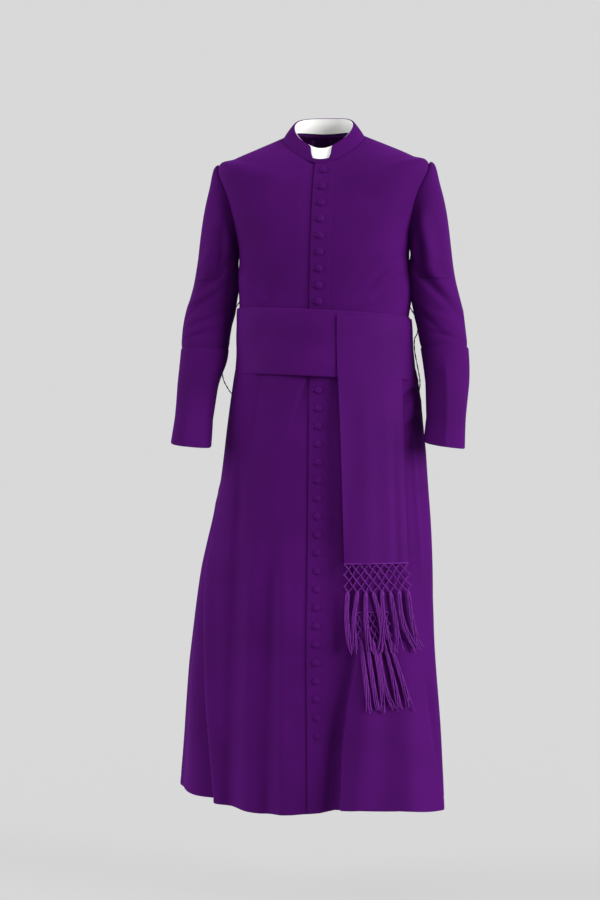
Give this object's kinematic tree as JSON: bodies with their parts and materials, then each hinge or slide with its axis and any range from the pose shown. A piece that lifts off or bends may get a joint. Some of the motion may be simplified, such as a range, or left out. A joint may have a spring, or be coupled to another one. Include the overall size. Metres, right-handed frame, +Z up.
{
  "type": "buttoned cassock with fringed band cincture",
  "caption": "Full-length fitted clerical robe with standing collar, button front, gauntlet cuffs and a wide band cincture with fringed falls.",
  "frame": {"origin": "middle of the neck opening, level with the neck points of the shoulder seams", "axes": "+Z up the wearer's neck, -Y to the front, +X to the wearer's left"},
  "size_m": [0.6096, 0.4475, 1.4393],
  "materials": {
    "purple_cloth": "matt worsted wool",
    "silk": "ribbed silk with a low sheen",
    "tab_white": "satin white",
    "lining_white": "plain cotton",
    "wadding": "felted wadding"
  },
  "bodies": {
    "garment": {"collar_stand": "purple_cloth", "collar_lining": "lining_white", "bodice_front_left": "purple_cloth", "bodice_front_right": "purple_cloth", "bodice_back": "purple_cloth", "skirt_front_left": "purple_cloth", "skirt_front_right": "purple_cloth", "skirt_back": "purple_cloth", "shoulder_pad_left": "wadding", "shoulder_pad_right": "wadding", "sleeve_head_left": "purple_cloth", "sleeve_head_right": "purple_cloth", "belt_loop_left": "silk", "belt_loop_right": "silk", "cincture_band": "silk", "button_01": "silk", "button_02": "silk", "button_03": "silk", "button_04": "silk", "button_05": "silk", "button_06": "silk", "button_07": "silk", "button_08": "silk", "button_09": "silk", "button_10": "silk", "button_11": "silk", "button_12": "silk", "button_13": "silk", "button_14": "silk", "button_15": "silk", "button_16": "silk", "button_17": "silk", "button_18": "silk", "button_19": "silk", "button_20": "silk", "button_21": "silk", "button_22": "silk", "button_23": "silk", "button_24": "silk", "button_25": "silk", "button_26": "silk", "button_27": "silk", "button_28": "silk", "button_29": "silk", "button_30": "silk", "button_31": "silk", "button_32": "silk", "button_33": "silk"},
    "arm_left": {"sleeve_upper_left": "purple_cloth", "sleeve_elbow_left": "purple_cloth"},
    "arm_right": {"sleeve_upper_right": "purple_cloth", "sleeve_elbow_right": "purple_cloth"},
    "forearm_left": {"cuff_left": "purple_cloth"},
    "forearm_right": {"cuff_right": "purple_cloth"},
    "tab": {"collar_insert": "tab_white"},
    "hanger": {"hanger_loop": "purple_cloth"},
    "fall_front": {"fall_front": "silk"},
    "fall_back": {"fall_back": "silk"},
    "fringe_front": {"fringe_front": "silk"},
    "fringe_back": {"fringe_back": "silk"}
  },
  "joints": [
    {"name": "shoulder_left_raise", "type": "hinge", "parent": "garment", "child": "arm_left", "pos_m": [0.196, 0, -0.095], "axis": [0, -1, 0], "range_deg": [0, 70], "deforming": ["sleeve_head_left"]},
    {"name": "elbow_left_bend", "type": "hinge", "parent": "arm_left", "child": "forearm_left", "pos_m": [0.249, -0.018, -0.402], "axis": [-1, 0, 0], "range_deg": [0, 80], "deforming": ["sleeve_elbow_left"]},
    {"name": "shoulder_right_raise", "type": "hinge", "parent": "garment", "child": "arm_right", "pos_m": [-0.196, 0, -0.095], "axis": [0, 1, 0], "range_deg": [0, 70], "deforming": ["sleeve_head_right"]},
    {"name": "elbow_right_bend", "type": "hinge", "parent": "arm_right", "child": "forearm_right", "pos_m": [-0.249, -0.018, -0.402], "axis": [-1, 0, 0], "range_deg": [0, 80], "deforming": ["sleeve_elbow_right"]},
    {"name": "tab_slide", "type": "slide", "parent": "garment", "child": "tab", "axis": [0, 0.3417, 0.9398], "range_m": [0, 0.018]},
    {"name": "hanger_loop_swing", "type": "hinge", "parent": "garment", "child": "hanger", "pos_m": [0, 0.056, 0.004], "axis": [-1, 0, 0], "range_deg": [0, 110]},
    {"name": "fall_front_swing", "type": "hinge", "parent": "garment", "child": "fall_front", "pos_m": [0.1048, -0.1163, -0.5135], "axis": [-0.9397, -0.342, 0], "range_deg": [0, 50]},
    {"name": "fall_back_swing", "type": "hinge", "parent": "garment", "child": "fall_back", "pos_m": [0.1053, -0.1119, -0.5135], "axis": [-0.9397, -0.342, 0], "range_deg": [0, 40]},
    {"name": "fringe_front_swing", "type": "hinge", "parent": "fall_front", "child": "fringe_front", "pos_m": [0.1192, -0.1494, -0.885], "axis": [-0.9397, -0.342, 0], "range_deg": [0, 50]},
    {"name": "fringe_back_swing", "type": "hinge", "parent": "fall_back", "child": "fringe_back", "pos_m": [0.1194, -0.1591, -0.9825], "axis": [-0.9397, -0.342, 0], "range_deg": [0, 40]}
  ],
  "couplings": [
    {"joint": "fall_back_swing", "follows": "fall_front_swing", "ratio": 0.8},
    {"joint": "fringe_back_swing", "follows": "fringe_front_swing", "ratio": 0.8}
  ]
}
